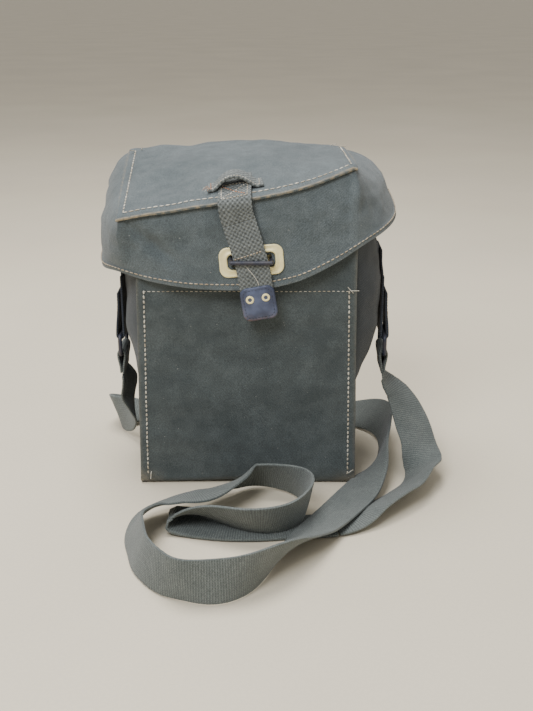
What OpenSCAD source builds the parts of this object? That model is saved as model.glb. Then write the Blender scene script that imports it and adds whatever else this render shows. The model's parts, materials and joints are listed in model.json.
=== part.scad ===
// Canvas shoulder satchel: a boxy cloth body under a deep fold-over lid, shut by a webbing
// strap that tucks under a staple, and carried on a long flat shoulder strap.
// Millimetres. +Z is up, -Y is the front, z = 0 is the surface that the bag stands on.

/* [Body] */
// Width of the front panel over both seam lips
bag_w = 172; // [140:1:220]
// Depth of the body from front cloth to back cloth
bag_d = 116; // [90:1:150]
// Height of the mouth, where the front panel and the gussets end
mouth_h = 204; // [195:1:208]
// Thickness of the coated canvas
cloth_t = 2; // [1.2:0.1:3]
// How far the sewn seam lips stand out beyond the gusset seams
lip_w = 6; // [4:0.5:8]
// How far the left gusset swells outward at its fullest
left_swell = 20; // [8:1:24]
// How far the right gusset swells outward at its fullest
right_swell = 28; // [8:1:28]

/* [Lid] */
// Height of the fold at the back that the lid turns on
hinge_h = 258; // [250:1:270]
// Height of the front ridge at its middle
ridge_h = 240; // [232:1:246]
// How much higher the ridge is at its right end than at its left end
ridge_skew = 33; // [0:1:34]
// How far the right end of the ridge is drawn back from the front
ridge_draw = 15; // [0:1:18]
// How far the right end of the ridge is drawn in sideways
ridge_tuck = 8; // [0:1:10]
// Rise of the crown in the middle of the top panel
crown = 8; // [0:0.5:10]
// Height of the hem at the middle of the front
hem_h = 167; // [160:1:180]
// Rise of the hem from the middle of the front to the left back corner
left_hem_rise = 24; // [10:1:40]
// Rise of the hem from the middle of the front to the right back corner
right_hem_rise = 47; // [30:1:55]
// Half width of the flared skirt at its hem
hem_half_w = 116; // [116:0.5:120]

/* [Fastening] */
// Width of the closing strap webbing
closing_w = 25; // [20:1:30]
// Thickness of the webbing
webbing_t = 1.6; // [1:0.1:2]
// Height of the staple and of the slot plate above the base
staple_h = 189; // [180:1:196]
// Sideways place of the staple, measured from the middle of the bag
staple_x = 4; // [-6:0.5:6]
// Width of the staple over its legs
staple_w = 33; // [30:0.5:33]
// Diameter of the staple bar
staple_bar_d = 3.2; // [2.6:0.1:3.4]
// How far the staple crown stands out from the front panel
staple_reach = 17; // [16.5:0.5:20]
// Side of the square strap tip
tip_side = 26; // [20:1:30]
// Thickness of the strap tip
tip_t = 4.6; // [3:0.1:5]

/* [Shoulder strap] */
// Width of the shoulder strap webbing
strap_w = 32; // [25:1:38]
// Length of the sewn tab loop from its seam to the ring
tab_drop = 50; // [40:1:60]
// Diameter of the bar that each ring is bent from
ring_bar_d = 3.4; // [2.5:0.1:4]
// Distance between the upper and the lower bar of a ring, centre to centre
ring_h = 16; // [12:1:20]

/* [Hidden] */
$fn = 48;

canvas = "#3c464b";
canvas_light = "#505c64";
webbing = "#464b48";
brass = "#dcc878";
dark_paint = "#2f3644";
navy = "#32345a";

half_w = bag_w / 2;
seam_x = half_w - lip_w;
front_y = (staple_reach - bag_d) / 2;
back_y = front_y + bag_d;
middle_y = (front_y + back_y) / 2;
gap = 0.4;

// Lid outline: the ridge follows the front plane, the hem stands proud of it.
// corner_s is the share of the skirt, counted from its middle, at which its corners lie.
lid_overhang = 2;
corner_s = 0.44;
ridge_y = front_y - 1;
hem_y = front_y - 10;
hem_corner_r = 42;
skirt_back_y = back_y - 5;
hem_skew = 8;

// Fastening
crown_y = front_y - staple_reach + staple_bar_d / 2;
leg_x = (staple_w - staple_bar_d) / 2;
plate_w = 48;
plate_h = 22.5;
plate_t = 1.2;
plate_y = -57.7;
plate_tilt = 7;
slot_w = 35.5;
slot_h = 11;
sewn_edge_h = 218;
tip_h = 158;
tip_x = 9.5;
tip_turn = 10;
eyelet_r = 3.05;
eyelet_hole_r = 1.5;
eyelet_dx = 6;
eyelet_dz = 4;

// Side fittings
tab_h = 163;
tab_w = 32;
ring_bar_r = ring_bar_d / 2;
ring_w = strap_w + 6;

// Route of the shoulder strap, from the right ring round the front to the left ring.
// Each entry is a point of the middle line and the direction of one selvedge from it.
strap_route = [
    [[111.6, 8.5, 79], [0, 10, 0]],
    [[112.6, 8.3, 75], [0, 10, 0]],
    [[118, 6, 68], [3, 9, 0]],
    [[126, 1, 60], [6, 8, 0]],
    [[132, -7, 50], [8, 6, 0]],
    [[137, -18, 38], [9, 4, 0]],
    [[141, -31, 26], [8, 5, 1]],
    [[142, -45, 17], [8, 3, 5]],
    [[137, -58, 12], [7, -2, 6]],
    [[127, -74, 10], [6, -6, 5]],
    [[114, -88, 9.4], [6, -6, 5]],
    [[98, -102, 7.5], [6, -7, 4]],
    [[83, -113, 4], [5, -8, 1]],
    [[66, -120, 2.2], [3, -9, 0]],
    [[32, -124, 2], [1, -10, 0]],
    [[6, -127, 2], [0, -10, 0]],
    [[-18, -126, 2], [0, -10, 0]],
    [[-42, -121, 2], [0, -10, 0]],
    [[-56, -118, 4], [0, -10, 0]],
    [[-58, -117, 8], [0, -10, 1]],
    [[-48, -118, 11], [0, -9, 3]],
    [[-26, -129, 16], [0, -7, 7]],
    [[4, -142, 18], [0, -5, 8]],
    [[28, -138, 18], [1, -4, 9]],
    [[43, -122, 18.5], [1, -3, 9]],
    [[47, -102, 18.5], [2, -2, 9]],
    [[40, -84, 18], [1, -4, 9]],
    [[24, -72, 17.5], [0, -5, 9]],
    [[4, -70, 18], [0, -6, 8]],
    [[-10, -84, 19], [0, -9, 4]],
    [[-30, -102, 18], [0, -10, 2]],
    [[-52, -109, 17], [1, -9, 3]],
    [[-71, -120, 15.5], [4, -8, 5]],
    [[-79, -143, 15.5], [4, -6, 7]],
    [[-76, -167, 16.2], [4, -5, 8]],
    [[-69, -189, 16.8], [4, -4, 8]],
    [[-56, -208, 17.2], [3, -2, 9]],
    [[-40, -219, 17.6], [1, -1, 10]],
    [[-18, -221, 17.6], [0, 1, 10]],
    [[2, -213, 17.6], [0, -1, 10]],
    [[21, -192, 16.5], [2, -4, 9]],
    [[37, -163, 12], [4, -7, 5]],
    [[55, -131, 7], [6, -8, 2]],
    [[73, -103, 7], [8, -6, 1]],
    [[88, -77, 7.5], [8, -5, 1]],
    [[99, -53, 11], [7, -3, 4]],
    [[108, -30, 15.8], [4, -1, 8]],
    [[115, -6, 17.6], [3, 0, 9.5]],
    [[119, 20, 17.8], [3, 0, 9.5]],
    [[119, 42, 17], [4, 3, 8.5]],
    [[112, 62, 13.5], [3, 7, 6]],
    [[96, 78, 8], [1, 9, 3]],
    [[70, 88, 3.5], [1, 10, 0.5]],
    [[26, 92, 2], [0, 10, 0]],
    [[-34, 92, 2], [0, 10, 0]],
    [[-76, 89, 4], [-1, 10, 1]],
    [[-100, 84, 8], [-3, 9, 3]],
    [[-117, 75, 14], [-5, 5, 6]],
    [[-121, 62, 17.5], [-4, 2, 9]],
    [[-114, 50, 19], [-2, 2, 10]],
    [[-106, 39, 25], [-2, 5, 8]],
    [[-101, 29, 36], [-2, 8, 5]],
    [[-100, 21, 48], [1, 9, 2]],
    [[-102, 14, 61], [3, 9, 0]],
    [[-104, 8.6, 74.5], [0, 10, 0]],
    [[-104.1, 8.5, 78.3], [0, 10, 0]]
];

function unit(v) = v / norm(v);
function mix(a, b, t) = a * (1 - t) + b * t;
function joined(rows) = [for (row = rows) each row];

// A closed solid between two grids of points that have the same size
module slab(outer, inner) {
    rows = len(outer);
    columns = len(outer[0]);
    last_row = rows - 1;
    last = columns - 1;
    function o(i, j) = i * columns + j;
    function n(i, j) = rows * columns + o(i, j);
    function two(a, b, c, d) = [[a, b, c], [a, c, d]];
    polyhedron(
        points = concat(joined(outer), joined(inner)),
        faces = concat(
            [for (i = [0:last_row - 1]) for (j = [0:last - 1])
                each two(o(i, j), o(i + 1, j), o(i + 1, j + 1), o(i, j + 1))],
            [for (i = [0:last_row - 1]) for (j = [0:last - 1])
                each two(n(i, j), n(i, j + 1), n(i + 1, j + 1), n(i + 1, j))],
            [for (i = [0:last_row - 1]) each two(o(i + 1, 0), o(i, 0), n(i, 0), n(i + 1, 0))],
            [for (i = [0:last_row - 1])
                each two(o(i, last), o(i + 1, last), n(i + 1, last), n(i, last))],
            [for (j = [0:last - 1]) each two(o(0, j), o(0, j + 1), n(0, j + 1), n(0, j))],
            [for (j = [0:last - 1]) each
                two(o(last_row, j + 1), o(last_row, j), n(last_row, j), n(last_row, j + 1))]));
}

// Flat webbing swept along a middle line; edges gives the direction of one selvedge at each point
module ribbon(line, edges, width, thickness) {
    count = len(line);
    function ahead(i) = unit(line[min(i + 1, count - 1)] - line[max(i - 1, 0)]);
    function side(i) = let(e = unit(edges[i]), a = ahead(i)) unit(e - (e * a) * a);
    function face(i) = cross(ahead(i), side(i));
    function row(i, s) = [for (k = [-1, 1])
        line[i] + side(i) * k * width / 2 + face(i) * s * thickness / 2];
    slab([for (i = [0:count - 1]) row(i, -1)], [for (i = [0:count - 1]) row(i, 1)]);
}

// Webbing whose middle line stays in one upright plane along X, its width running along Y
module side_webbing(profile, thickness) {
    line = [for (p = profile) [p[0], middle_y, p[1]]];
    ribbon(line, [for (p = line) [0, 1, 0]], tab_w, thickness);
}

// Webbing whose middle line goes down the front; points are [x, y, z]
module front_webbing(line, thickness) {
    ribbon(line, [for (p = line) [1, 0, 0.2]], closing_w, thickness);
}

module rounded_square(w, h, r) {
    square([w - 2 * r, h], center = true);
    square([w, h - 2 * r], center = true);
    for (x = [-1, 1], y = [-1, 1])
        translate([x * (w / 2 - r), y * (h / 2 - r)]) circle(r);
}

// ---- body ----

module leg_holes(r) {
    for (s = [-1, 1])
        translate([staple_x + s * leg_x, front_y + bag_d / 4, staple_h])
            rotate([90, 0, 0]) cylinder(r = r, h = bag_d / 2);
}

module front_panel() {
    color(canvas) difference() {
        translate([-half_w, front_y, 0]) cube([bag_w, cloth_t, mouth_h]);
        leg_holes(staple_bar_d / 2 + 0.15);
    }
}

module back_panel() {
    color(canvas) translate([-half_w, back_y - cloth_t, 0])
        cube([bag_w, cloth_t, hinge_h - 1]);
}

module base_panel() {
    color(canvas) translate([-seam_x, front_y + cloth_t, 0])
        cube([2 * seam_x, bag_d - 2 * cloth_t, cloth_t]);
}

// Outward reach of a gusset at height z and at a share v of its depth, from -1 to 1
fullest_h = 175;
mouth_share = 0.62;
function swell_at(z, v, most) =
    let(low = min(z / fullest_h, 1),
        high = max((z - fullest_h) / (mouth_h - fullest_h), 0))
    most * (low - high * high * (1 - mouth_share)) * pow(1 - v * v, 0.8);

module gusset(side, most) {
    depth = bag_d - 2 * cloth_t - 2 * gap;
    function at(i, j, inset) =
        let(v = -1 + 2 * j / 12, z = cloth_t + gap + i / 14 * (mouth_h - cloth_t - gap))
        [side * (seam_x + swell_at(z, v, most) - inset), middle_y + side * v * depth / 2, z];
    slab([for (i = [0:14]) [for (j = [0:12]) at(i, j, 0)]],
         [for (i = [0:14]) [for (j = [0:12]) at(i, j, cloth_t)]]);
}

module left_gusset() { color(canvas) gusset(-1, left_swell); }
module right_gusset() { color(canvas) gusset(1, right_swell); }

band_h = 20;
module front_band() {
    color(webbing) translate([-seam_x + 4, front_y + cloth_t, tab_h - band_h / 2])
        cube([2 * seam_x - 8, webbing_t, band_h]);
}

// ---- staple ----

module staple() {
    leg_end_y = front_y + cloth_t + webbing_t;
    color(dark_paint) union() {
        translate([staple_x - leg_x, crown_y, staple_h])
            rotate([0, 90, 0]) cylinder(d = staple_bar_d, h = 2 * leg_x);
        for (s = [-1, 1]) translate([staple_x + s * leg_x, crown_y, staple_h]) {
            sphere(d = staple_bar_d);
            rotate([-90, 0, 0]) cylinder(d = staple_bar_d, h = leg_end_y - crown_y);
        }
    }
}

module staple_plate(y, h) {
    difference() {
        translate([staple_x, y, staple_h]) rotate([90, 0, 0])
            linear_extrude(height = plate_t) rounded_square(staple_w + 7, h, 3);
        leg_holes(staple_bar_d / 2 + 0.15);
    }
}

module staple_washer() { color(brass) staple_plate(front_y - 0.1, 10); }
module staple_backing() { color(brass) staple_plate(front_y + cloth_t + plate_t + 0.1, 14); }

// ---- side tabs, rings and strap ends ----

// Middle line of a strip that comes down on the inside of a bar, goes round it and back up
function wrap(x, top, bar_z, tail) =
    let(r = ring_bar_r + 0.25 + webbing_t / 2)
    concat([[x - r, top]],
           [for (a = [0:20:180]) [x - r * cos(a), bar_z - r * sin(a)]],
           [[x + r, tail]]);

// Sideways place of the bar that a tab hangs a ring on
function bar_x(most) = seam_x + swell_at(tab_h, 0, most) + 2.2 + webbing_t + ring_bar_r;

module tab_root(most) {
    side_webbing([for (z = [tab_h + 2:4:tab_h + 22])
                     [seam_x + swell_at(z, 0, most) + webbing_t / 2 + gap, z]], webbing_t);
}

module tab(most) {
    x = bar_x(most);
    side_webbing(wrap(x, tab_h - 0.5, tab_h - tab_drop, tab_h - 14), webbing_t);
}

module ring(x) {
    bars_z = [tab_h - tab_drop, tab_h - tab_drop - ring_h];
    ends_y = [middle_y - ring_w / 2, middle_y + ring_w / 2];
    union() {
        for (z = bars_z) translate([x, ends_y[0], z])
            rotate([-90, 0, 0]) cylinder(r = ring_bar_r, h = ring_w);
        for (y = ends_y) {
            translate([x, y, bars_z[1]]) cylinder(r = ring_bar_r, h = ring_h);
            for (z = bars_z) translate([x, y, z]) sphere(ring_bar_r);
        }
    }
}

module strap_end(most) {
    x = bar_x(most);
    low_z = tab_h - tab_drop - ring_h;
    inner = ring_bar_r + 0.25 + webbing_t / 2;
    line = concat([[x - 1, 80.5], [x - 1.4, 86], [x - inner, low_z - 4]],
                  [for (a = [180:-20:0]) [x + inner * cos(a), low_z + inner * sin(a)]],
                  [[x + inner, low_z - 4], [x + 1.4, 86], [x + 1, 82]]);
    side_webbing(line, webbing_t);
}

module left_tab_root() { color(webbing) mirror([1, 0, 0]) tab_root(left_swell); }
module right_tab_root() { color(webbing) tab_root(right_swell); }
module left_tab() { color(webbing) mirror([1, 0, 0]) tab(left_swell); }
module right_tab() { color(webbing) tab(right_swell); }
module left_ring() { color(dark_paint) ring(-bar_x(left_swell)); }
module right_ring() { color(dark_paint) ring(bar_x(right_swell)); }
module left_strap_end() { color(webbing) mirror([1, 0, 0]) strap_end(left_swell); }
module right_strap_end() { color(webbing) strap_end(right_swell); }

module shoulder_strap() {
    color(webbing) ribbon([for (s = strap_route) s[0]], [for (s = strap_route) s[1]],
                          strap_w, webbing_t);
}

// ---- lid ----

function ridge_at(x) = ridge_h + ridge_skew * x / bag_w;
function hem_at(s, x) =
    hem_h + (s < 0 ? left_hem_rise : right_hem_rise) * pow(sin(90 * abs(s)), 1.4) + hem_skew * x / bag_w;

// A point of the top panel: u runs across from -1 to 1, v from the ridge to the back fold
function top_point(u, v, lift) =
    let(x = u * (half_w + lid_overhang) - ridge_tuck * max(u, 0) * (1 - v),
        drawn = ridge_draw * pow(max(u, 0), 2), back = back_y - 4)
    [x, mix(ridge_y - lid_overhang + drawn, back, v),
     mix(ridge_at(x), hinge_h, v) + crown * (1 - u * u) * sin(180 * v) + lift];

// Upper side of the top panel at a place seen from above
function top_z(x, y) =
    let(front = ridge_y - lid_overhang)
    top_point(x / (half_w + lid_overhang), (y - front) / (back_y - 4 - front), cloth_t)[2];

// The hem seen from above is a U: along the front, round both corners and back along the sides.
// s runs from -1 at the back on the left to 1 at the back on the right.
hem_flat = hem_half_w - hem_corner_r;
hem_arc = hem_corner_r * PI / 2;
hem_wall = skirt_back_y - hem_y - hem_corner_r;
function hem_far(s) = abs(s) * (hem_flat + hem_arc + hem_wall);
function hem_turn(s) = max(0, min(90, (hem_far(s) - hem_flat) / hem_arc * 90));
function hem_point(s) =
    let(far = hem_far(s), turn = hem_turn(s), straight = max(0, far - hem_flat - hem_arc),
        x = sign(s) * (min(far, hem_flat) + hem_corner_r * sin(turn)))
    [x, hem_y + hem_corner_r * (1 - cos(turn)) + straight, hem_at(s, x)];

// The upper edge of the skirt follows the front and the two sides of the top panel
function skirt_top(s) =
    let(far = abs(s), u = sign(s) * min(far / corner_s, 1),
        v = max(0, (far - corner_s) / (1 - corner_s)), p = top_point(u, v, -gap))
    [p[0] - sign(s) * lid_overhang, p[1] + lid_overhang * (1 - v), p[2]];

function skirt_point(s, t, inset) =
    let(turn = hem_turn(s), inward = [-sign(s) * sin(turn), cos(turn), 0])
    mix(skirt_top(s), hem_point(s), t) + inset * inward;

module lid_top() {
    color(canvas_light)
        slab([for (i = [0:16]) [for (j = [0:8]) top_point(-1 + i / 8, j / 8, cloth_t)]],
             [for (i = [0:16]) [for (j = [0:8]) top_point(-1 + i / 8, j / 8, 0)]]);
}

module lid_skirt() {
    color(canvas_light) difference() {
        slab([for (i = [0:6]) [for (j = [0:48]) skirt_point(-1 + j / 24, i / 6, 0)]],
             [for (i = [0:6]) [for (j = [0:48]) skirt_point(-1 + j / 24, i / 6, cloth_t)]]);
        translate([staple_x, front_y, staple_h])
            cube([slot_w, bag_d / 2, slot_h], center = true);
    }
}

module slotted_plate(y, rim_t) {
    translate([staple_x, y, staple_h]) rotate([90 - plate_tilt, 0, 0]) difference() {
        union() {
            linear_extrude(height = plate_t) rounded_square(plate_w, plate_h, 8);
            linear_extrude(height = plate_t + rim_t) rounded_square(slot_w + 4, slot_h + 4, 4.5);
        }
        translate([0, 0, -1]) linear_extrude(height = 5) rounded_square(slot_w, slot_h, 3.5);
    }
}

module slot_plate() { color(brass) slotted_plate(plate_y, 0.5); }
module slot_backplate() { color(brass) slotted_plate(plate_y + cloth_t + 2.8, 0); }

// ---- closing strap ----

sewn_x = -8;
module strap_anchor() {
    clear = webbing_t / 2 + 1;
    function on_top(y) = [sewn_x, y, top_z(sewn_x, y) + clear];
    color(webbing) front_webbing([
        on_top(ridge_y + 22), on_top(ridge_y + 16), on_top(ridge_y + 10), on_top(ridge_y + 1),
        [-7.7, ridge_y - 3.2, ridge_at(sewn_x) + 3.4],
        [-7.4, ridge_y - 4.6, ridge_at(sewn_x) - 0.5],
        [-6.5, ridge_y - 4.4, ridge_at(sewn_x) - 8],
        [-4.6, ridge_y - 4.4, sewn_edge_h + 0.9]], webbing_t);
}

// A short bridge of webbing over the sewn end, open to the front and to the back
keeper_rise = 6;
module keeper_loop() {
    y = ridge_y + 14;
    span = closing_w / 2 + 1.4;
    crest = top_z(sewn_x, y) + webbing_t * 1.5 + 1.8;
    sole = -webbing_t - gap;
    profile = concat([[-span - 6, sole], [-span - 0.4, sole]],
                     [for (a = [-80:20:80]) [span * sin(a), keeper_rise * cos(a)]],
                     [[span + 0.4, sole], [span + 6, sole]]);
    color(webbing)
        ribbon([for (p = profile)
                   [sewn_x + p[0], y, crest + p[1] + p[0] * ridge_skew / bag_w]],
               [for (p = profile) [0, 1, 0.35]], 13, webbing_t);
}

strap_y = crown_y + staple_bar_d / 2 + 0.5 + webbing_t / 2;
tip_y = strap_y - 1.2;
module closing_strap() {
    color(webbing) front_webbing([
        [-4, ridge_y - 4.55, sewn_edge_h - 1.3],
        [-2.5, ridge_y - 6.5, sewn_edge_h - 7],
        [0, strap_y + 0.4, staple_h + 14],
        [2.2, strap_y, staple_h + 6],
        [staple_x, strap_y, staple_h],
        [5.8, strap_y - 0.8, staple_h - 8],
        [7.5, tip_y, tip_h + tip_side / 2 + 0.6]], webbing_t);
}

module at_tip() {
    translate([tip_x, tip_y + tip_t / 2, tip_h]) rotate([90, 0, 0]) rotate([0, 0, tip_turn])
        children();
}

module eyelet_places() {
    for (s = [-1, 1]) translate([s * eyelet_dx, eyelet_dz, 0]) children();
}

module strap_tip() {
    color(navy) at_tip() difference() {
        linear_extrude(height = tip_t) rounded_square(tip_side, tip_side, 4);
        eyelet_places() translate([0, 0, -1]) cylinder(r = eyelet_r - 0.6, h = tip_t + 2);
    }
}

module tip_eyelets() {
    color(brass) at_tip() eyelet_places() rotate_extrude()
        difference() {
            union() {
                translate([eyelet_hole_r, -0.4]) square([eyelet_r - 0.7 - eyelet_hole_r, tip_t + 0.8]);
                for (y = [-0.5, tip_t + 0.05])
                    translate([eyelet_hole_r, y]) square([eyelet_r - eyelet_hole_r, 0.45]);
            }
        }
}

front_panel();
back_panel();
base_panel();
left_gusset();
right_gusset();
front_band();
staple();
staple_washer();
staple_backing();
left_tab_root();
right_tab_root();
left_tab();
right_tab();
left_ring();
right_ring();
left_strap_end();
right_strap_end();
shoulder_strap();
lid_top();
lid_skirt();
slot_plate();
slot_backplate();
strap_anchor();
keeper_loop();
closing_strap();
strap_tip();
tip_eyelets();
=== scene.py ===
import json
import math

import bmesh
import bpy
from mathutils import Matrix, Vector, noise
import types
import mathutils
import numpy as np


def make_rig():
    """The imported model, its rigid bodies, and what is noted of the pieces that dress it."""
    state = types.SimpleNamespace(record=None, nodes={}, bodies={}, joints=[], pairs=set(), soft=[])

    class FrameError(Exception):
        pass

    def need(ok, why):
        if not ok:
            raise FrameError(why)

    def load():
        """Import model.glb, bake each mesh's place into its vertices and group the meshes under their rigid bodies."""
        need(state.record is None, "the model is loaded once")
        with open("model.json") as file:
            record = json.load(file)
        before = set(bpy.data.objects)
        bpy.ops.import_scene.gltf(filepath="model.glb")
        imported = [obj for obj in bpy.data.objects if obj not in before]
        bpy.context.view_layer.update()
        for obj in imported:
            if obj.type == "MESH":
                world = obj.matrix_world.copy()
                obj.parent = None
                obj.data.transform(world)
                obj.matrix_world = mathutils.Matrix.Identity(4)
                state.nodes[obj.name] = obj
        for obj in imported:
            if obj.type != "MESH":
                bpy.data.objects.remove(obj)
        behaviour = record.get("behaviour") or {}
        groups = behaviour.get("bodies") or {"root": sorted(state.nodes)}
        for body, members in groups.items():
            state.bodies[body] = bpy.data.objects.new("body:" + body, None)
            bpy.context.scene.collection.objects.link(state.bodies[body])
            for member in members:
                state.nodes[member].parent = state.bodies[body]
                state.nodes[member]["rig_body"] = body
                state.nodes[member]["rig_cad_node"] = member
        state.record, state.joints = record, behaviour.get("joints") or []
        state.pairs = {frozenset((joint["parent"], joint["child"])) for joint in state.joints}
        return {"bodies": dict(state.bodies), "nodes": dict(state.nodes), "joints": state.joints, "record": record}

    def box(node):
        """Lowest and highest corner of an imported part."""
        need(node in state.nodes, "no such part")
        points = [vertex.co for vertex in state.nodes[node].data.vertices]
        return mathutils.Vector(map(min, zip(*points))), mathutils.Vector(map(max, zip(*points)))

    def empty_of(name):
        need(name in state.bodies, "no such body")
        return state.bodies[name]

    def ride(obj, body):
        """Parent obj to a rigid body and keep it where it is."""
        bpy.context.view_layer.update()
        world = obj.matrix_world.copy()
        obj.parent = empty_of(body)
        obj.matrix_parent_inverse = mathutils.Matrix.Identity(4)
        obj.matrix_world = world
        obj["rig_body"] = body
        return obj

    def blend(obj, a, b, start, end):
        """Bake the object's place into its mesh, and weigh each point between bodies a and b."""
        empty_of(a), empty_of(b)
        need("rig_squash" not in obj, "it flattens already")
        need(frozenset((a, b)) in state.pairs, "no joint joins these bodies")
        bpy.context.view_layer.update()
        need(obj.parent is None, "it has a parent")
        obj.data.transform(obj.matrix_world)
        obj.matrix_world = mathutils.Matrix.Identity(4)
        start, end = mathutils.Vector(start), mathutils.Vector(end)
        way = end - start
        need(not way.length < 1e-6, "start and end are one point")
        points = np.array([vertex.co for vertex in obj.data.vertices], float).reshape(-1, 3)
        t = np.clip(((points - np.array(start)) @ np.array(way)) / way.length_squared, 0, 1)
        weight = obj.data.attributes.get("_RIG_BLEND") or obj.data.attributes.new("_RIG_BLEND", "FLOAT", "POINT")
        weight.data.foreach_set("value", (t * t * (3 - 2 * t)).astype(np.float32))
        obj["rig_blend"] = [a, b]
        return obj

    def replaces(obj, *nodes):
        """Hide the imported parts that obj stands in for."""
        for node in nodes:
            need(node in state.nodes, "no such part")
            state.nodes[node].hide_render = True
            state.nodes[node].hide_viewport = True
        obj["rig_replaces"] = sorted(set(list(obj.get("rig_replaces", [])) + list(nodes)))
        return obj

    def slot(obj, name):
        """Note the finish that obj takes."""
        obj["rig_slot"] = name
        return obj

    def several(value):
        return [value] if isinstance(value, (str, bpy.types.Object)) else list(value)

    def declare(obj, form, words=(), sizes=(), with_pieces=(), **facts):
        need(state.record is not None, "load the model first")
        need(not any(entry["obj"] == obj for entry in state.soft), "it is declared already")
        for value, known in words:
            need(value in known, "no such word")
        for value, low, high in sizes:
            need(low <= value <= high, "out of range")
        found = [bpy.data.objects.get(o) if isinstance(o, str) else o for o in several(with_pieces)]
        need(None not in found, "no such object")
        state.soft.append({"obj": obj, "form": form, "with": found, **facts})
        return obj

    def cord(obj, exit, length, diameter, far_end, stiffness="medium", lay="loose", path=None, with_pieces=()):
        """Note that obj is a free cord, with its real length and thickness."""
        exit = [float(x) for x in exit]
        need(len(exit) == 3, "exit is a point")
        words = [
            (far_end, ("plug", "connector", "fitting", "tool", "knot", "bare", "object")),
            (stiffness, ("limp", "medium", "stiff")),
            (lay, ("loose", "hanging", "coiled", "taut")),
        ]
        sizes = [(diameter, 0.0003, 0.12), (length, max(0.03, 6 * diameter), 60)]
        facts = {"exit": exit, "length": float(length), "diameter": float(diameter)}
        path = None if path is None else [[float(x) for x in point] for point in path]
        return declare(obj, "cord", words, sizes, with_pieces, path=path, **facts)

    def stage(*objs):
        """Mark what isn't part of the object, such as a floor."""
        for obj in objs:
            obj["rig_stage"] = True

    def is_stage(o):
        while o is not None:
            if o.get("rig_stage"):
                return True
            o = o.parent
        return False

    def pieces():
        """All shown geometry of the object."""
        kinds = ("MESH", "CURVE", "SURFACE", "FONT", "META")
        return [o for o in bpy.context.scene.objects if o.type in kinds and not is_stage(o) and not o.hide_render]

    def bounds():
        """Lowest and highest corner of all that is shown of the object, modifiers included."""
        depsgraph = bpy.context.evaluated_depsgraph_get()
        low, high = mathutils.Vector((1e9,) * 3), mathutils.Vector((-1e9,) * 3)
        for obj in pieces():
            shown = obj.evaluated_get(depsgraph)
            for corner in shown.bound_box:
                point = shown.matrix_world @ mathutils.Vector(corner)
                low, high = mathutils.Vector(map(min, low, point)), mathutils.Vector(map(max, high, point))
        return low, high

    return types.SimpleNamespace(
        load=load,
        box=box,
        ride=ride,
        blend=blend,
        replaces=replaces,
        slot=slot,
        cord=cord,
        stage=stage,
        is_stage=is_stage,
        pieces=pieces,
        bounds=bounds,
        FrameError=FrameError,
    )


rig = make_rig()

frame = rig.load()
cad_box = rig.bounds()

# Camera: a little above the lid and level with the middle of the bag, looking down at it.
# It stands about 0.7 m in front of the front panel.
lens = bpy.data.cameras.new("camera")
lens.lens = 50.63
lens.sensor_width = 36
lens.sensor_fit = "AUTO"
camera = bpy.data.objects.new("camera", lens)
camera.location = (0.0152, -0.780, 0.377)
camera.rotation_euler = (math.radians(70), 0, 0)
bpy.context.collection.objects.link(camera)
bpy.context.scene.camera = camera

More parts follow.
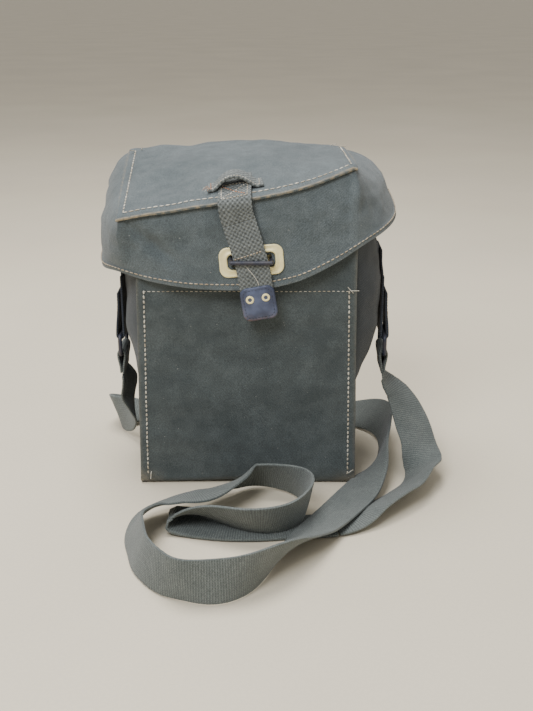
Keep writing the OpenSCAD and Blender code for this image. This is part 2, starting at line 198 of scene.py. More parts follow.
# Shoulder strap: cotton webbing 32 mm wide, woven with fine ribs across it and tight selvedges.
# It leaves the right ring, lies in loops on the floor and runs behind the bag to the left ring.
MM = 0.001
STRAP_WIDTH = 32
STRAP_THICKNESS = 1.7
strap_route = [
    [(111.6, 8.5, 79), (0, 10, 0)],
    [(112.6, 8.3, 75), (0, 10, 0)],
    [(118, 6, 68), (3, 9, 0)],
    [(126, 1, 60), (6, 8, 0)],
    [(132, -7, 50), (8, 6, 0)],
    [(137, -18, 38), (9, 4, 0)],
    [(141, -31, 26), (8, 5, 1)],
    [(142, -45, 17), (8, 3, 5)],
    [(137, -58, 12), (7, -2, 6)],
    [(127, -74, 10), (6, -6, 5)],
    [(114, -88, 9.4), (6, -6, 5)],
    [(98, -102, 7.5), (6, -7, 4)],
    [(83, -113, 4), (5, -8, 1)],
    [(66, -120, 2.2), (3, -9, 0)],
    [(32, -124, 2), (1, -10, 0)],
    [(6, -127, 2), (0, -10, 0)],
    [(-18, -126, 2), (0, -10, 0)],
    [(-42, -121, 2), (0, -10, 0)],
    [(-56, -118, 4), (0, -10, 0)],
    [(-58, -117, 8), (0, -10, 1)],
    [(-48, -118, 11), (0, -9, 3)],
    [(-26, -129, 16), (0, -7, 7)],
    [(4, -142, 18), (0, -5, 8)],
    [(28, -138, 18), (1, -4, 9)],
    [(43, -122, 18.5), (1, -3, 9)],
    [(47, -102, 18.5), (2, -2, 9)],
    [(40, -84, 18), (1, -4, 9)],
    [(24, -72, 17.5), (0, -5, 9)],
    [(4, -70, 18), (0, -6, 8)],
    [(-10, -84, 19), (0, -9, 4)],
    [(-30, -102, 18), (0, -10, 2)],
    [(-52, -109, 17), (1, -9, 3)],
    [(-71, -120, 15.5), (4, -8, 5)],
    [(-79, -143, 15.5), (4, -6, 7)],
    [(-76, -167, 16.2), (4, -5, 8)],
    [(-69, -189, 16.8), (4, -4, 8)],
    [(-56, -208, 17.2), (3, -2, 9)],
    [(-40, -219, 17.6), (1, -1, 10)],
    [(-18, -221, 17.6), (0, 1, 10)],
    [(2, -213, 17.6), (0, -1, 10)],
    [(21, -192, 16.5), (2, -4, 9)],
    [(37, -163, 12), (4, -7, 5)],
    [(55, -131, 7), (6, -8, 2)],
    [(73, -103, 7), (8, -6, 1)],
    [(88, -77, 7.5), (8, -5, 1)],
    [(99, -53, 11), (7, -3, 4)],
    [(108, -30, 15.8), (4, -1, 8)],
    [(115, -6, 17.6), (3, 0, 9.5)],
    [(119, 20, 17.8), (3, 0, 9.5)],
    [(119, 42, 17), (4, 3, 8.5)],
    [(112, 62, 13.5), (3, 7, 6)],
    [(96, 78, 8), (1, 9, 3)],
    [(70, 88, 3.5), (1, 10, 0.5)],
    [(26, 92, 2), (0, 10, 0)],
    [(-34, 92, 2), (0, 10, 0)],
    [(-76, 89, 4), (-1, 10, 1)],
    [(-100, 84, 8), (-3, 9, 3)],
    [(-117, 75, 14), (-5, 5, 6)],
    [(-121, 62, 17.5), (-4, 2, 9)],
    [(-114, 50, 19), (-2, 2, 10)],
    [(-106, 39, 25), (-2, 5, 8)],
    [(-101, 29, 36), (-2, 8, 5)],
    [(-100, 21, 48), (1, 9, 2)],
    [(-102, 14, 61), (3, 9, 0)],
    [(-104, 9, 75), (0, 10, 0)],
    [(-104.1, 8.5, 79), (0, 10, 0)],
]


def smooth_run(route, step):
    """Evenly spaced points and selvedge directions on a smooth curve through a route."""
    dense = []
    for i in range(len(route) - 1):
        rows = [route[max(i - 1, 0)], route[i], route[i + 1], route[min(i + 2, len(route) - 1)]]
        for k in range(12):
            t = k / 12
            place, edge = (
                0.5 * (2 * b + (c - a) * t + (2 * a - 5 * b + 4 * c - d) * t * t
                       + (3 * b - a - 3 * c + d) * t ** 3)
                for a, b, c, d in (
                    [Vector(row[part]) if part == 0 else Vector(row[part]).normalized() for row in rows]
                    for part in (0, 1)))
            dense.append((place, edge))
    dense.append((Vector(route[-1][0]), Vector(route[-1][1]).normalized()))
    lengths = [0.0]
    for (a, _), (b, _) in zip(dense, dense[1:]):
        lengths.append(lengths[-1] + (b - a).length)
    count = max(2, round(lengths[-1] / step))
    run, k = [], 0
    for i in range(count + 1):
        wanted = lengths[-1] * i / count
        while k < len(dense) - 2 and lengths[k + 1] < wanted:
            k += 1
        share = (wanted - lengths[k]) / max(lengths[k + 1] - lengths[k], 1e-9)
        run.append((dense[k][0].lerp(dense[k + 1][0], share), dense[k][1].lerp(dense[k + 1][1], share)))
    return run


def ribbon_place(run, width, sag=0.0):
    """A function that gives the point of flat webbing at u across it and v along it."""
    last = len(run) - 1

    def place(u, v):
        i = min(int(v * last), last - 1)
        share = v * last - i
        ahead = (run[min(i + 2, last)][0] - run[max(i - 1, 0)][0]).normalized()
        side = run[i][1].lerp(run[i + 1][1], share)
        side = (side - side.dot(ahead) * ahead).normalized()
        up = ahead.cross(side)
        far = 2 * u - 1
        return run[i][0].lerp(run[i + 1][0], share) + side * far * width / 2 + up * sag * (1 - far * far)

    return place


def cloth_grid(place, columns, rows, cut):
    """A grid laid on a shape, with its UV map in metres so that a weave keeps its size."""
    bm = bmesh.new()
    bmesh.ops.create_grid(bm, x_segments=columns, y_segments=rows, size=0.5)
    uv = bm.loops.layers.uv.new("UVMap")
    for face in bm.faces:
        for loop in face.loops:
            across, down = loop.vert.co.x + 0.5, loop.vert.co.y + 0.5
            loop[uv].uv = (across * cut[0] * MM, down * cut[1] * MM)
    for vert in bm.verts:
        vert.co = place(vert.co.x + 0.5, vert.co.y + 0.5) * MM
    return bm


def into_piece(name, bm, material, thickness=0.0, rounding=0, offset=0.0):
    """Turn a bmesh into a piece: its thickness and rounding are applied to the mesh."""
    mesh = bpy.data.meshes.new(name)
    bm.to_mesh(mesh)
    bm.free()
    for polygon in mesh.polygons:
        polygon.use_smooth = True
    piece = bpy.data.objects.new(name, mesh)
    bpy.context.collection.objects.link(piece)
    mesh.materials.append(material)
    if thickness:
        solid = piece.modifiers.new("cloth", "SOLIDIFY")
        solid.thickness = thickness * MM
        solid.offset = offset
        solid.use_even_offset = False
        if rounding:
            edge = piece.modifiers.new("edge", "BEVEL")
            edge.width = thickness * 0.3 * MM
            edge.segments = 2
            edge.limit_method = "ANGLE"
            edge.angle_limit = math.radians(60)
    if rounding > 1:
        smooth = piece.modifiers.new("smooth", "SUBSURF")
        smooth.levels = smooth.render_levels = rounding - 1
    if piece.modifiers:
        graph = bpy.context.evaluated_depsgraph_get()
        applied = bpy.data.meshes.new_from_object(piece.evaluated_get(graph), depsgraph=graph)
        piece.modifiers.clear()
        piece.data = applied
    return piece


def new_group(name, sockets):
    """An empty shader node group with the sockets named."""
    group = bpy.data.node_groups.new(name, "ShaderNodeTree")
    for socket, way, kind, value in sockets:
        made = group.interface.new_socket(name=socket, in_out=way, socket_type=kind)
        if value is not None:
            made.default_value = value
    start = group.nodes.new("NodeGroupInput")
    end = group.nodes.new("NodeGroupOutput")
    return group, start, end


def sums(tree, operation, a, b=None):
    """A Math node of a tree, fed by sockets or by plain numbers."""
    node = tree.nodes.new("ShaderNodeMath")
    node.operation = operation
    for i, value in enumerate((a, b)):
        if value is None:
            continue
        if isinstance(value, (int, float)):
            node.inputs[i].default_value = value
        else:
            tree.links.new(value, node.inputs[i])
    return node.outputs[0]


def blotches(tree, vector, scale, detail=3.0, low=0.35, high=0.65):
    """Soft noise between two levels, as a value from 0 to 1."""
    grain = tree.nodes.new("ShaderNodeTexNoise")
    grain.inputs["Scale"].default_value = scale
    grain.inputs["Detail"].default_value = detail
    tree.links.new(vector, grain.inputs["Vector"])
    step = tree.nodes.new("ShaderNodeMapRange")
    step.inputs["From Min"].default_value = low
    step.inputs["From Max"].default_value = high
    tree.links.new(grain.outputs["Fac"], step.inputs["Value"])
    return step.outputs["Result"]


def mixed(tree, factor, a, b):
    """A colour between two colours, each a socket or a plain colour."""
    node = tree.nodes.new("ShaderNodeMix")
    node.data_type = "RGBA"
    if isinstance(factor, (int, float)):
        node.inputs["Factor"].default_value = factor
    else:
        tree.links.new(factor, node.inputs["Factor"])
    for value, socket in ((a, node.inputs[6]), (b, node.inputs[7])):
        if isinstance(value, tuple):
            socket.default_value = (*value, 1)
        else:
            tree.links.new(value, socket)
    return node.outputs[2]


weave, weave_in, weave_out = new_group("weave", [
    ("Vector", "INPUT", "NodeSocketVector", None),
    ("Across Pitch", "INPUT", "NodeSocketFloat", 0.0016),
    ("Along Pitch", "INPUT", "NodeSocketFloat", 0.0017),
    ("Rib", "INPUT", "NodeSocketFloat", 0.4),
    ("Height", "OUTPUT", "NodeSocketFloat", None)])
split = weave.nodes.new("ShaderNodeSeparateXYZ")
wobble = weave.nodes.new("ShaderNodeTexNoise")
wobble.inputs["Scale"].default_value = 160
weave.links.new(weave_in.outputs["Vector"], wobble.inputs["Vector"])
weave.links.new(weave_in.outputs["Vector"], split.inputs["Vector"])
drift = sums(weave, "MULTIPLY", wobble.outputs["Fac"], 0.9)
turns = []
for axis, pitch in (("X", "Across Pitch"), ("Y", "Along Pitch")):
    count = sums(weave, "DIVIDE", split.outputs[axis], weave_in.outputs[pitch])
    angle = sums(weave, "ADD", sums(weave, "MULTIPLY", count, 2 * math.pi), drift)
    turns.append(sums(weave, "SINE", angle))
checks = sums(weave, "ADD", sums(weave, "MULTIPLY", sums(weave, "MULTIPLY", turns[0], turns[1]), 0.5), 0.5)
ribs = sums(weave, "ADD", sums(weave, "MULTIPLY", turns[1], 0.5), 0.5)
kept = sums(weave, "SUBTRACT", 1.0, weave_in.outputs["Rib"])
height = sums(weave, "ADD", sums(weave, "MULTIPLY", checks, kept),
              sums(weave, "MULTIPLY", ribs, weave_in.outputs["Rib"]))
weave.links.new(height, weave_out.inputs["Height"])

ageing, ageing_in, ageing_out = new_group("ageing", [
    ("Vector", "INPUT", "NodeSocketVector", None),
    ("Clean", "INPUT", "NodeSocketColor", (0.1, 0.1, 0.1, 1)),
    ("Faded", "INPUT", "NodeSocketColor", (0.2, 0.2, 0.2, 1)),
    ("Lint", "INPUT", "NodeSocketFloat", 0.5),
    ("Color", "OUTPUT", "NodeSocketColor", None),
    ("Fade", "OUTPUT", "NodeSocketFloat", None)])
clouds = blotches(ageing, ageing_in.outputs["Vector"], 22, 6, 0.36, 0.68)
rubs = blotches(ageing, ageing_in.outputs["Vector"], 95, 4, 0.4, 0.66)
fade = sums(ageing, "ADD", sums(ageing, "MULTIPLY", clouds, 0.38), sums(ageing, "MULTIPLY", rubs, 0.3))
specks = blotches(ageing, ageing_in.outputs["Vector"], 640, 2, 0.735, 0.78)
faded = mixed(ageing, fade, ageing_in.outputs["Clean"], ageing_in.outputs["Faded"])
grit = blotches(ageing, ageing_in.outputs["Vector"], 1150, 2, 0.36, 0.66)
grained = mixed(ageing, sums(ageing, "MULTIPLY", grit, 0.5), faded, (0.02, 0.024, 0.025))
lint_share = sums(ageing, "MULTIPLY", specks, ageing_in.outputs["Lint"])
linted = mixed(ageing, lint_share, grained, (0.55, 0.54, 0.5))
ageing.links.new(linted, ageing_out.inputs["Color"])
ageing.links.new(fade, ageing_out.inputs["Fade"])


def woven_material(name, hollow_shade, pale, clean, across, along, rib, bump, rough=0.9, lint=0.4, sheen=0.15):
    """Woven cloth, faded and dusty in places, with the hollows between its raised threads painted darker as shade."""
    material = bpy.data.materials.new(name)
    material.use_nodes = True
    tree = material.node_tree
    shader = tree.nodes["Principled BSDF"]
    where = tree.nodes.new("ShaderNodeTexCoord")
    threads = tree.nodes.new("ShaderNodeGroup")
    threads.node_tree = weave
    threads.inputs["Across Pitch"].default_value = across * MM
    threads.inputs["Along Pitch"].default_value = along * MM
    threads.inputs["Rib"].default_value = rib
    tree.links.new(where.outputs["UV"], threads.inputs["Vector"])
    age = tree.nodes.new("ShaderNodeGroup")
    age.node_tree = ageing
    age.inputs["Clean"].default_value = (*clean, 1)
    age.inputs["Faded"].default_value = (*pale, 1)
    age.inputs["Lint"].default_value = lint
    tree.links.new(where.outputs["Object"], age.inputs["Vector"])
    # Painted shade: the low parts of the weave are mixed towards the dark hollow colour.
    sunk = sums(tree, "SUBTRACT", 1.0, threads.outputs["Height"])
    colour = mixed(tree, sums(tree, "MULTIPLY", sunk, 0.75), age.outputs["Color"], hollow_shade)
    tree.links.new(colour, shader.inputs["Base Color"])
    roughness = sums(tree, "SUBTRACT", rough + 0.04, sums(tree, "MULTIPLY", age.outputs["Fade"], 0.08))
    tree.links.new(roughness, shader.inputs["Roughness"])
    shader.inputs["Sheen Weight"].default_value = sheen
    shader.inputs["Sheen Roughness"].default_value = 0.5
    shader.inputs["Specular IOR Level"].default_value = 0.25
    relief = tree.nodes.new("ShaderNodeBump")
    relief.inputs["Strength"].default_value = 1.0
    relief.inputs["Distance"].default_value = bump * MM
    tree.links.new(threads.outputs["Height"], relief.inputs["Height"])
    tree.links.new(relief.outputs["Normal"], shader.inputs["Normal"])
    return material, tree, shader, colour


strap_webbing, *_ = woven_material(
    "strap_webbing", (0.040, 0.046, 0.044), (0.28, 0.305, 0.288), (0.174, 0.198, 0.190),
    1.9, 1.75, 0.55, 0.35)

strap_run = smooth_run(strap_route, 3.0)


def strap_part(name, first, last):
    """A stretch of the shoulder strap between two of its points."""
    run = strap_run[first:last + 1]
    place = ribbon_place(run, STRAP_WIDTH, 0.5)
    length = 3.0 * (len(run) - 1)
    bm = cloth_grid(place, 12, len(run) - 1, (STRAP_WIDTH, length))
    part = into_piece(name, bm, strap_webbing, STRAP_THICKNESS, 1)
    path = [tuple(p * MM) for p, _ in run]
    real = sum((Vector(b) - Vector(a)).length for a, b in zip(path, path[1:]))
    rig.slot(part, "webbing")
    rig.replaces(part, "shoulder_strap")
    return part, path, real


def index_of(station):
    """The evenly spaced point nearest to a station of the route."""
    goal = Vector(strap_route[station][0])
    return min(range(len(strap_run)), key=lambda i: (strap_run[i][0] - goal).length)


right_cut, left_cut = index_of(13), index_of(53)
right_drop, path, real = strap_part("strap_right_drop", 0, right_cut)
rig.cord(right_drop, exit=path[0], length=real, diameter=STRAP_WIDTH * MM, far_end="object",
        stiffness="medium", lay="loose", path=path)
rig.blend(right_drop, "right_tab", "bag", start=(0.112, 0.0085, 0.076), end=(0.068, -0.112, 0.004))
middle_run, path, real = strap_part("strap_middle", right_cut, left_cut)
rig.cord(middle_run, exit=path[0], length=real, diameter=STRAP_WIDTH * MM, far_end="object",
        stiffness="medium", lay="loose", path=path)
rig.ride(middle_run, "bag")
left_drop, path, real = strap_part("strap_left_drop", left_cut, len(strap_run) - 1)
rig.cord(left_drop, exit=path[-1], length=real, diameter=STRAP_WIDTH * MM, far_end="object",
        stiffness="medium", lay="loose", path=path)
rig.blend(left_drop, "left_tab", "bag", start=(-0.104, 0.0085, 0.076), end=(-0.030, 0.092, 0.002))


# Body: one long strip of coated canvas makes the front, the bottom and the back.
# It turns up through soft folds, and its raw edges stand out as lips beyond the side seams.
FRONT_Y, BACK_Y, MOUTH_H, FOLD_R = -49.5, 66.5, 204, 5
SEAM_SHARE = 0.93


def coated_canvas(name, hollow_shade, pale, clean):
    """Coated canvas that is rubbed to bare tan cloth wherever its wear attribute is high."""
    material, tree, shader, colour = woven_material(name, hollow_shade, pale, clean, 1.3, 1.3, 0.1, 0.2,
                                                    0.84, 0.8, 0.16)
    edge_wear = tree.nodes.new("ShaderNodeAttribute")
    edge_wear.attribute_name = "wear"
    place_of = tree.nodes.new("ShaderNodeTexCoord")
    chips = blotches(tree, place_of.outputs["Object"], 420, 3, 0.22, 0.52)
    worn = sums(tree, "MULTIPLY", edge_wear.outputs["Fac"], chips)
    tree.links.new(mixed(tree, worn, colour, (0.34, 0.28, 0.19)), shader.inputs["Base Color"])
    return material


# One canvas in three copies: the body copy is painted darker as shade under the lid, and the side copy darker still as
# painted shadow on the gussets.
lid_canvas = coated_canvas("lid_canvas", (0.035, 0.043, 0.046), (0.25, 0.290, 0.300), (0.125, 0.152, 0.160))
body_canvas_painted_shade = coated_canvas("body_canvas_painted_shade",
                            (0.026, 0.032, 0.034), (0.175, 0.206, 0.208), (0.076, 0.093, 0.095))
side_canvas_painted_shadow = coated_canvas("side_canvas_painted_shadow",
                            (0.016, 0.020, 0.025), (0.085, 0.100, 0.112), (0.034, 0.042, 0.052))


def dent(x, z, cx, cz, rx, rz, depth):
    """A soft hollow of a given depth in a panel."""
    return depth * math.exp(-((x - cx) / rx) ** 2 - ((z - cz) / rz) ** 2)


def ripple(x, y, z, size, amount):
    """A slow unevenness of cloth that has been folded and handled."""
    return amount * noise.fractal(Vector((x, y, z)) / size, 0.8, 2.0, 3)


def half_width(z):
    """Half the width of the folded strip over its lips at a height; it narrows upward."""
    return 87.2 - 3.4 * min(max(z, 0), 170) / 170


front_run = MOUTH_H - FOLD_R
turn_run = FOLD_R * math.pi / 2
base_run = BACK_Y - FRONT_Y - 2 * FOLD_R
strip_length = front_run + 2 * turn_run + base_run + 243


def strip_place(u, v):
    """The folded strip: v goes down the front, across the bottom and up the back."""
    s, x_share = v * strip_length, 2 * u - 1
    if s < front_run:
        z, y = MOUTH_H - s, FRONT_Y
        x = x_share * half_width(z)
        slack = math.cos(x_share * math.pi / 2) ** 0.7 * math.sin(min(z / 150, 1) * math.pi)
        y -= 1.6 * slack
        y += ripple(x, 0, z, 46, 1.5) * min(1, z / 20)
        y += dent(x, z, -48, 22, 26, 16, 1.6) + dent(x, z, 42, 34, 24, 20, 1.4)
        y -= dent(x, z, 62, 12, 14, 10, 1.2)
        if z > 155:
            y = max(y, FRONT_Y - 0.4)
        return Vector((x, y, z))
    s -= front_run
    lift = 1.6 * max(0.0, 1 - abs(x_share + 0.15) * 1.4)
    if s < turn_run:
        a = s / FOLD_R
        return Vector((x_share * half_width(0), FRONT_Y + FOLD_R * (1 - math.cos(a)),
                       FOLD_R * (1 - math.sin(a)) + 0.3 + lift))
    s -= turn_run
    if s < base_run:
        y = FRONT_Y + FOLD_R + s
        return Vector((x_share * (half_width(0) - 0.8), y, 0.3 + lift * max(0, 1 - s / 20)))
    s -= base_run
    if s < turn_run:
        a = s / FOLD_R
        return Vector((x_share * half_width(0), BACK_Y - FOLD_R * (1 - math.sin(a)),
                       FOLD_R * (1 - math.cos(a)) + 0.3))
    z = FOLD_R + s - turn_run
    x = x_share * (half_width(z) + 2 * max(0, (z - 170) / 85))
    y = BACK_Y - 0.5 + ripple(x, 9, z, 50, 1.6) * min(1, z / 25) * min(1, max(0, (250 - z) / 40))
    return Vector((x, y, z))


def mark_wear(bm, amount):
    """Store how worn the cloth is at each point, from a function of its place in millimetres."""
    layer = bm.verts.layers.float.new("wear")
    for vert in bm.verts:
        vert[layer] = max(0.0, min(1.0, amount(vert.co / MM)))


def strip_wear(p):
    lip = max(0, (abs(p.x) / half_width(p.z) - 0.965) / 0.035)
    corner = max(0, 1 - p.z / 14) * max(0, (abs(p.x) - 66) / 20)
    return 0.16 * lip + 0.5 * corner


strip = cloth_grid(strip_place, 64, 200, (174, strip_length))
mark_wear(strip, strip_wear)
# The strip takes the darker body copy of the canvas: painted shade.
strip = into_piece("body_strip", strip, body_canvas_painted_shade, 1.9, 1, 1)
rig.slot(strip, "canvas")
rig.replaces(strip, "front_panel", "back_panel", "base_panel", "front_band")
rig.ride(strip, "bag")

# Gussets: the two narrow side panels, sewn along both edges to the strip.
# They swell outward at mid height and fold in softly towards the bottom.
SIDE_TOP = {-1: 207, 1: 229}


def gusset_place(side, most):
    def place(u, v):
        top = MOUTH_H + (SIDE_TOP[side] - MOUTH_H) * min(max(u - 0.08, 0) * 2.2, 1)
        z = 0.9 + (top - 0.9) * v
        rise = min(max((z - 60) / 70, 0), 1)
        low = 0.25 * min(z / 100, 1) + 0.75 * rise * rise * (3 - 2 * rise)
        high = min(max((z - 175) / 29, 0), 1)
        lip_x = half_width(z) - 0.6
        seam_x = half_width(z) * SEAM_SHARE
        if u < 0.08 or u > 0.92:
            t = u / 0.08 if u < 0.08 else (1 - u) / 0.08
            y = FRONT_Y + 2.1 + 0.6 * t if u < 0.5 else BACK_Y - 2.3 - 0.6 * t
            return Vector((side * (lip_x + (seam_x - lip_x) * t), y, z))
        w = (u - 0.08) / 0.84
        y = FRONT_Y + 2.7 + w * (BACK_Y - FRONT_Y - 5.6)
        out = most * (low - high * high * 0.38) * (4 * w * (1 - w)) ** 0.8
        pleat = 2.4 * math.exp(-((w - 0.52) / 0.13) ** 2) * math.sin(min(z / 120, 1) * math.pi)
        held = min(1, w * 6) * min(1, (1 - w) * 6) * min(1, z / 20)
        out += ripple(side * 30, y, z, 34, 2.2) * held - pleat * 0.6
        return Vector((side * (seam_x + max(out, 0)), y, z))
    return place


def gusset_wear(p):
    """Wear on the raw lips only, which stand along the front and back seams."""
    if abs(p.y - 8.5) <= 54:
        return 0
    return max(0, (abs(p.x) / half_width(p.z) - 0.97) / 0.03) * 0.15


for name, side, most in (("left_gusset", -1, 20), ("right_gusset", 1, 28)):
    sheet = cloth_grid(gusset_place(side, most), 44, 64, (140, MOUTH_H))
    mark_wear(sheet, gusset_wear)
    bmesh.ops.recalc_face_normals(sheet, faces=sheet.faces)
    # The gussets take the darkest copy of the canvas: painted shadow.
    panel = into_piece(name + "_cloth", sheet, side_canvas_painted_shadow, 1.6, 1, 0)
    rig.slot(panel, "canvas")
    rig.replaces(panel, name)
    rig.ride(panel, "bag")

# Thread: waxed linen, off-white and twisted, in rows of short stitches and small knots.
# Each row is one piece, and a stitch is a slim bead that lies on the cloth.
def thread_material(name, light, dark):
    material = bpy.data.materials.new(name)
    material.use_nodes = True
    tree = material.node_tree
    shader = tree.nodes["Principled BSDF"]
    where = tree.nodes.new("ShaderNodeTexCoord")
    stain = blotches(tree, where.outputs["Object"], 130, 4, 0.4, 0.62)
    tree.links.new(mixed(tree, stain, light, dark), shader.inputs["Base Color"])
    fibre = tree.nodes.new("ShaderNodeTexNoise")
    fibre.inputs["Scale"].default_value = 2600
    tree.links.new(where.outputs["Object"], fibre.inputs["Vector"])
    relief = tree.nodes.new("ShaderNodeBump")
    relief.inputs["Distance"].default_value = 0.0002
    tree.links.new(fibre.outputs["Fac"], relief.inputs["Height"])
    tree.links.new(relief.outputs["Normal"], shader.inputs["Normal"])
    shader.inputs["Roughness"].default_value = 0.8
    return material


cream = thread_material("cream_thread", (0.62, 0.59, 0.51), (0.38, 0.33, 0.25))
straw = thread_material("straw_thread", (0.54, 0.46, 0.35), (0.36, 0.28, 0.19))
tan = thread_material("tan_thread", (0.42, 0.30, 0.18), (0.27, 0.18, 0.10))


def add_stitch(bm, a, b, radius, normal):
    """One stitch from a to b: a bead of a few dozen faces, slightly flattened on the cloth."""
    along = (b - a).normalized()
    up = (normal - normal.dot(along) * along).normalized()
    side = along.cross(up)
    turn = Matrix((side, along, up)).transposed().to_4x4()
    size = Matrix.Diagonal((radius, (b - a).length / 2, radius * 0.75, 1))
    middle = Matrix.Translation((a + b) / 2 + up * radius * 0.35)
    scale = Matrix.Scale(MM, 4)
    bmesh.ops.create_uvsphere(bm, u_segments=6, v_segments=5, radius=1.0,
                              matrix=scale @ middle @ turn @ Matrix.Rotation(0, 4, "X") @ size)


def sew(name, line, pitch, gap, radius, material, body, slot="canvas", wander=0.25):
    """A row of stitches along (point, normal) pairs, with small irregularities of hand feeding."""
    bm = bmesh.new()
    lengths = [0.0]
    for (a, _), (b, _) in zip(line, line[1:]):
        lengths.append(lengths[-1] + (b - a).length)

    def at(far):
        k = 0
        while k < len(lengths) - 2 and lengths[k + 1] < far:
            k += 1
        share = min(max((far - lengths[k]) / max(lengths[k + 1] - lengths[k], 1e-6), 0), 1)
        return line[k][0].lerp(line[k + 1][0], share), line[k][1]

    far, k = 0.0, 0
    while far + pitch - gap < lengths[-1]:
        a, normal = at(far)
        b, _ = at(far + pitch - gap)
        shift = Vector((noise.noise(Vector((k * 7.3, 1, 2))), noise.noise(Vector((k * 5.1, 3, 4))),
                        noise.noise(Vector((k * 3.7, 5, 6))))) * wander
        uneven = 1 + 0.25 * noise.noise(Vector((k * 2.1, 9, 9)))
        add_stitch(bm, a + shift, b - shift, radius * uneven, normal)
        far += pitch
        k += 1
    row = into_piece(name, bm, material)
    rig.slot(row, slot)
    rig.ride(row, body)
    return row


def on_sheet(place, u, v, out=1, e=0.004):
    """The point and the outward normal of a shaped sheet."""
    across = place(min(u + e, 1), v) - place(max(u - e, 0), v)
    down = place(u, min(v + e, 1)) - place(u, max(v - e, 0))
    return place(u, v), across.cross(down).normalized() * out


for side, name in ((-1, "left"), (1, "right")):
    u = (1 + side * SEAM_SHARE) / 2
    row = []
    for k in range(90):
        s = 40 + k * (front_run - 40) / 89
        place, normal = on_sheet(strip_place, u, s / strip_length, 1)
        row.append((place, Vector((0, -1, 0))))
    sew("front_seam_" + name, row, 3.9, 0.7, 0.74, cream, "bag", wander=0.6)
    back_start = front_run + 2 * turn_run + base_run + 4
    row = [(strip_place(u, (back_start + k * 2.6) / strip_length), Vector((0, 1, 0)))
           for k in range(94)]
    sew("back_seam_" + name, row, 3.9, 0.9, 0.5, cream, "bag", wander=0.35)
BAND_V = 41 / strip_length
row = [(strip_place((1 + x / half_width(163)) / 2, BAND_V) + Vector((0, -0.1, 0)), Vector((0, -1, 0)))
       for x in range(-79, 80, 2)]
sew("front_band_row", row, 3.6, 1.0, 0.36, cream, "bag", wander=0.15)

# Lid: the top panel has a crown and rises to the right, with a raw lip left standing outside
# the seam that joins it to the skirt. It turns on the cloth fold along the top of the back.
FRONT_EDGE = [(-92, -52, 222.5), (-60, -52.5, 228), (-8, -53, 235.5), (40, -48, 244), (80, -32, 256.5)]
BACK_EDGE = [(-95, 62, 254.5), (-50, 62.5, 258), (0, 62.5, 260), (40, 62.5, 259.5), (77, 62, 256)]


def through(points, t):
    """A point at t from 0 to 1 on a smooth curve through evenly weighted points."""
    far = min(max(t, 0), 1) * (len(points) - 1)
    i = min(int(far), len(points) - 2)
    a, b, c, d = (Vector(points[min(max(k, 0), len(points) - 1)]) for k in (i - 1, i, i + 1, i + 2))
    f = far - i
    return 0.5 * (2 * b + (c - a) * f + (2 * a - 5 * b + 4 * c - d) * f * f
                  + (3 * b - a - 3 * c + d) * f ** 3)


def top_at(u, v):
    """The top panel: u across from the left, v from the ridge back to the fold."""
    p = through(FRONT_EDGE, u).lerp(through(BACK_EDGE, u), v)
    arch = math.sin(math.pi * min(max(v, 0), 1)) * max(0, 1 - (2 * u - 1) ** 2)
    p.z += 6.5 * arch + ripple(p.x, p.y, 5, 40, 2.2) * min(1, 6 * min(u, 1 - u, v) + 0.15)
    p.z -= dent(p.x, p.y, -58, -14, 14, 26, 4.2) + dent(p.x, p.y, 46, 20, 18, 26, 2.2)
    p.z += dent(p.x, p.y, -28, -20, 16, 22, 2.2)
    return p


LIP = 4.6


def top_place(u, v):
    """The top panel with its raw lip, which droops a little outside the seam."""
    us, vs = u * 1.06 - 0.03, v * 1.16 - 0.04
    inner = top_at(min(max(us, 0), 1), min(max(vs, 0), 1))
    if vs > 1:
        roll = (vs - 1) / 0.12 * 16
        bend = min(roll / 7, 1) * math.pi / 2
        inner += Vector((0, 4.6 * math.sin(bend), -4.6 * (1 - math.cos(bend)) - max(roll - 7, 0)))
        inner.x *= 1 - 0.07 * (vs - 1) / 0.12
    out = Vector((0, 0, 0))
    if vs < 0:
        out += Vector((0, -1, -0.42)) * (-vs / 0.04) * LIP
    if us < 0 or us > 1:
        far = (-us if us < 0 else us - 1) / 0.03
        out += Vector((-1 if us < 0 else 1, 0, -0.25)) * far * LIP * (0.9 if us < 0 else 0.7)
    return inner + out


def lip_wear(p):
    near = min((p - top_place(k / 80, 0)).length for k in range(81))
    sides = min((p - top_place(e, k / 30)).length for e in (0, 1) for k in range(31))
    return 1.1 - min(near, sides + 0.8) / 1.8


top = cloth_grid(top_place, 96, 72, (180, 134))
mark_wear(top, lip_wear)
top = into_piece("lid_top_cloth", top, lid_canvas, 1.9, 1, -1)
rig.slot(top, "canvas")
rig.replaces(top, "lid_top")
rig.blend(top, "bag", "lid", start=(0, 0.0685, 0.246), end=(0, 0.058, 0.262))

# Skirt: one cloth that hangs from the lip round the front and both sides, flared at its corners.
# Its hem is turned under and sewn, lowest in the middle of the front and highest at the back right.
HEM = [(-113, 60, 186), (-117, 36, 177), (-117, 8, 174), (-111, -22, 175), (-97, -43, 177), (-72, -55, 172.5),
       (-38, -59.5, 168), (4, -60.5, 167.5), (36, -60, 173), (65, -57, 186), (86, -49, 198), (104, -34, 206),
       (115, -8, 210), (118, 20, 214), (116, 60, 221)]
FRONT_SHARE = 0.30


def skirt_top(s):
    """The seam that the skirt hangs from: up the left side, along the ridge, back on the right."""
    if s < FRONT_SHARE:
        return top_at(0, 1 - s / FRONT_SHARE)
    if s > 1 - FRONT_SHARE:
        return top_at(1, (s - 1 + FRONT_SHARE) / FRONT_SHARE)
    return top_at((s - FRONT_SHARE) / (1 - 2 * FRONT_SHARE), 0)


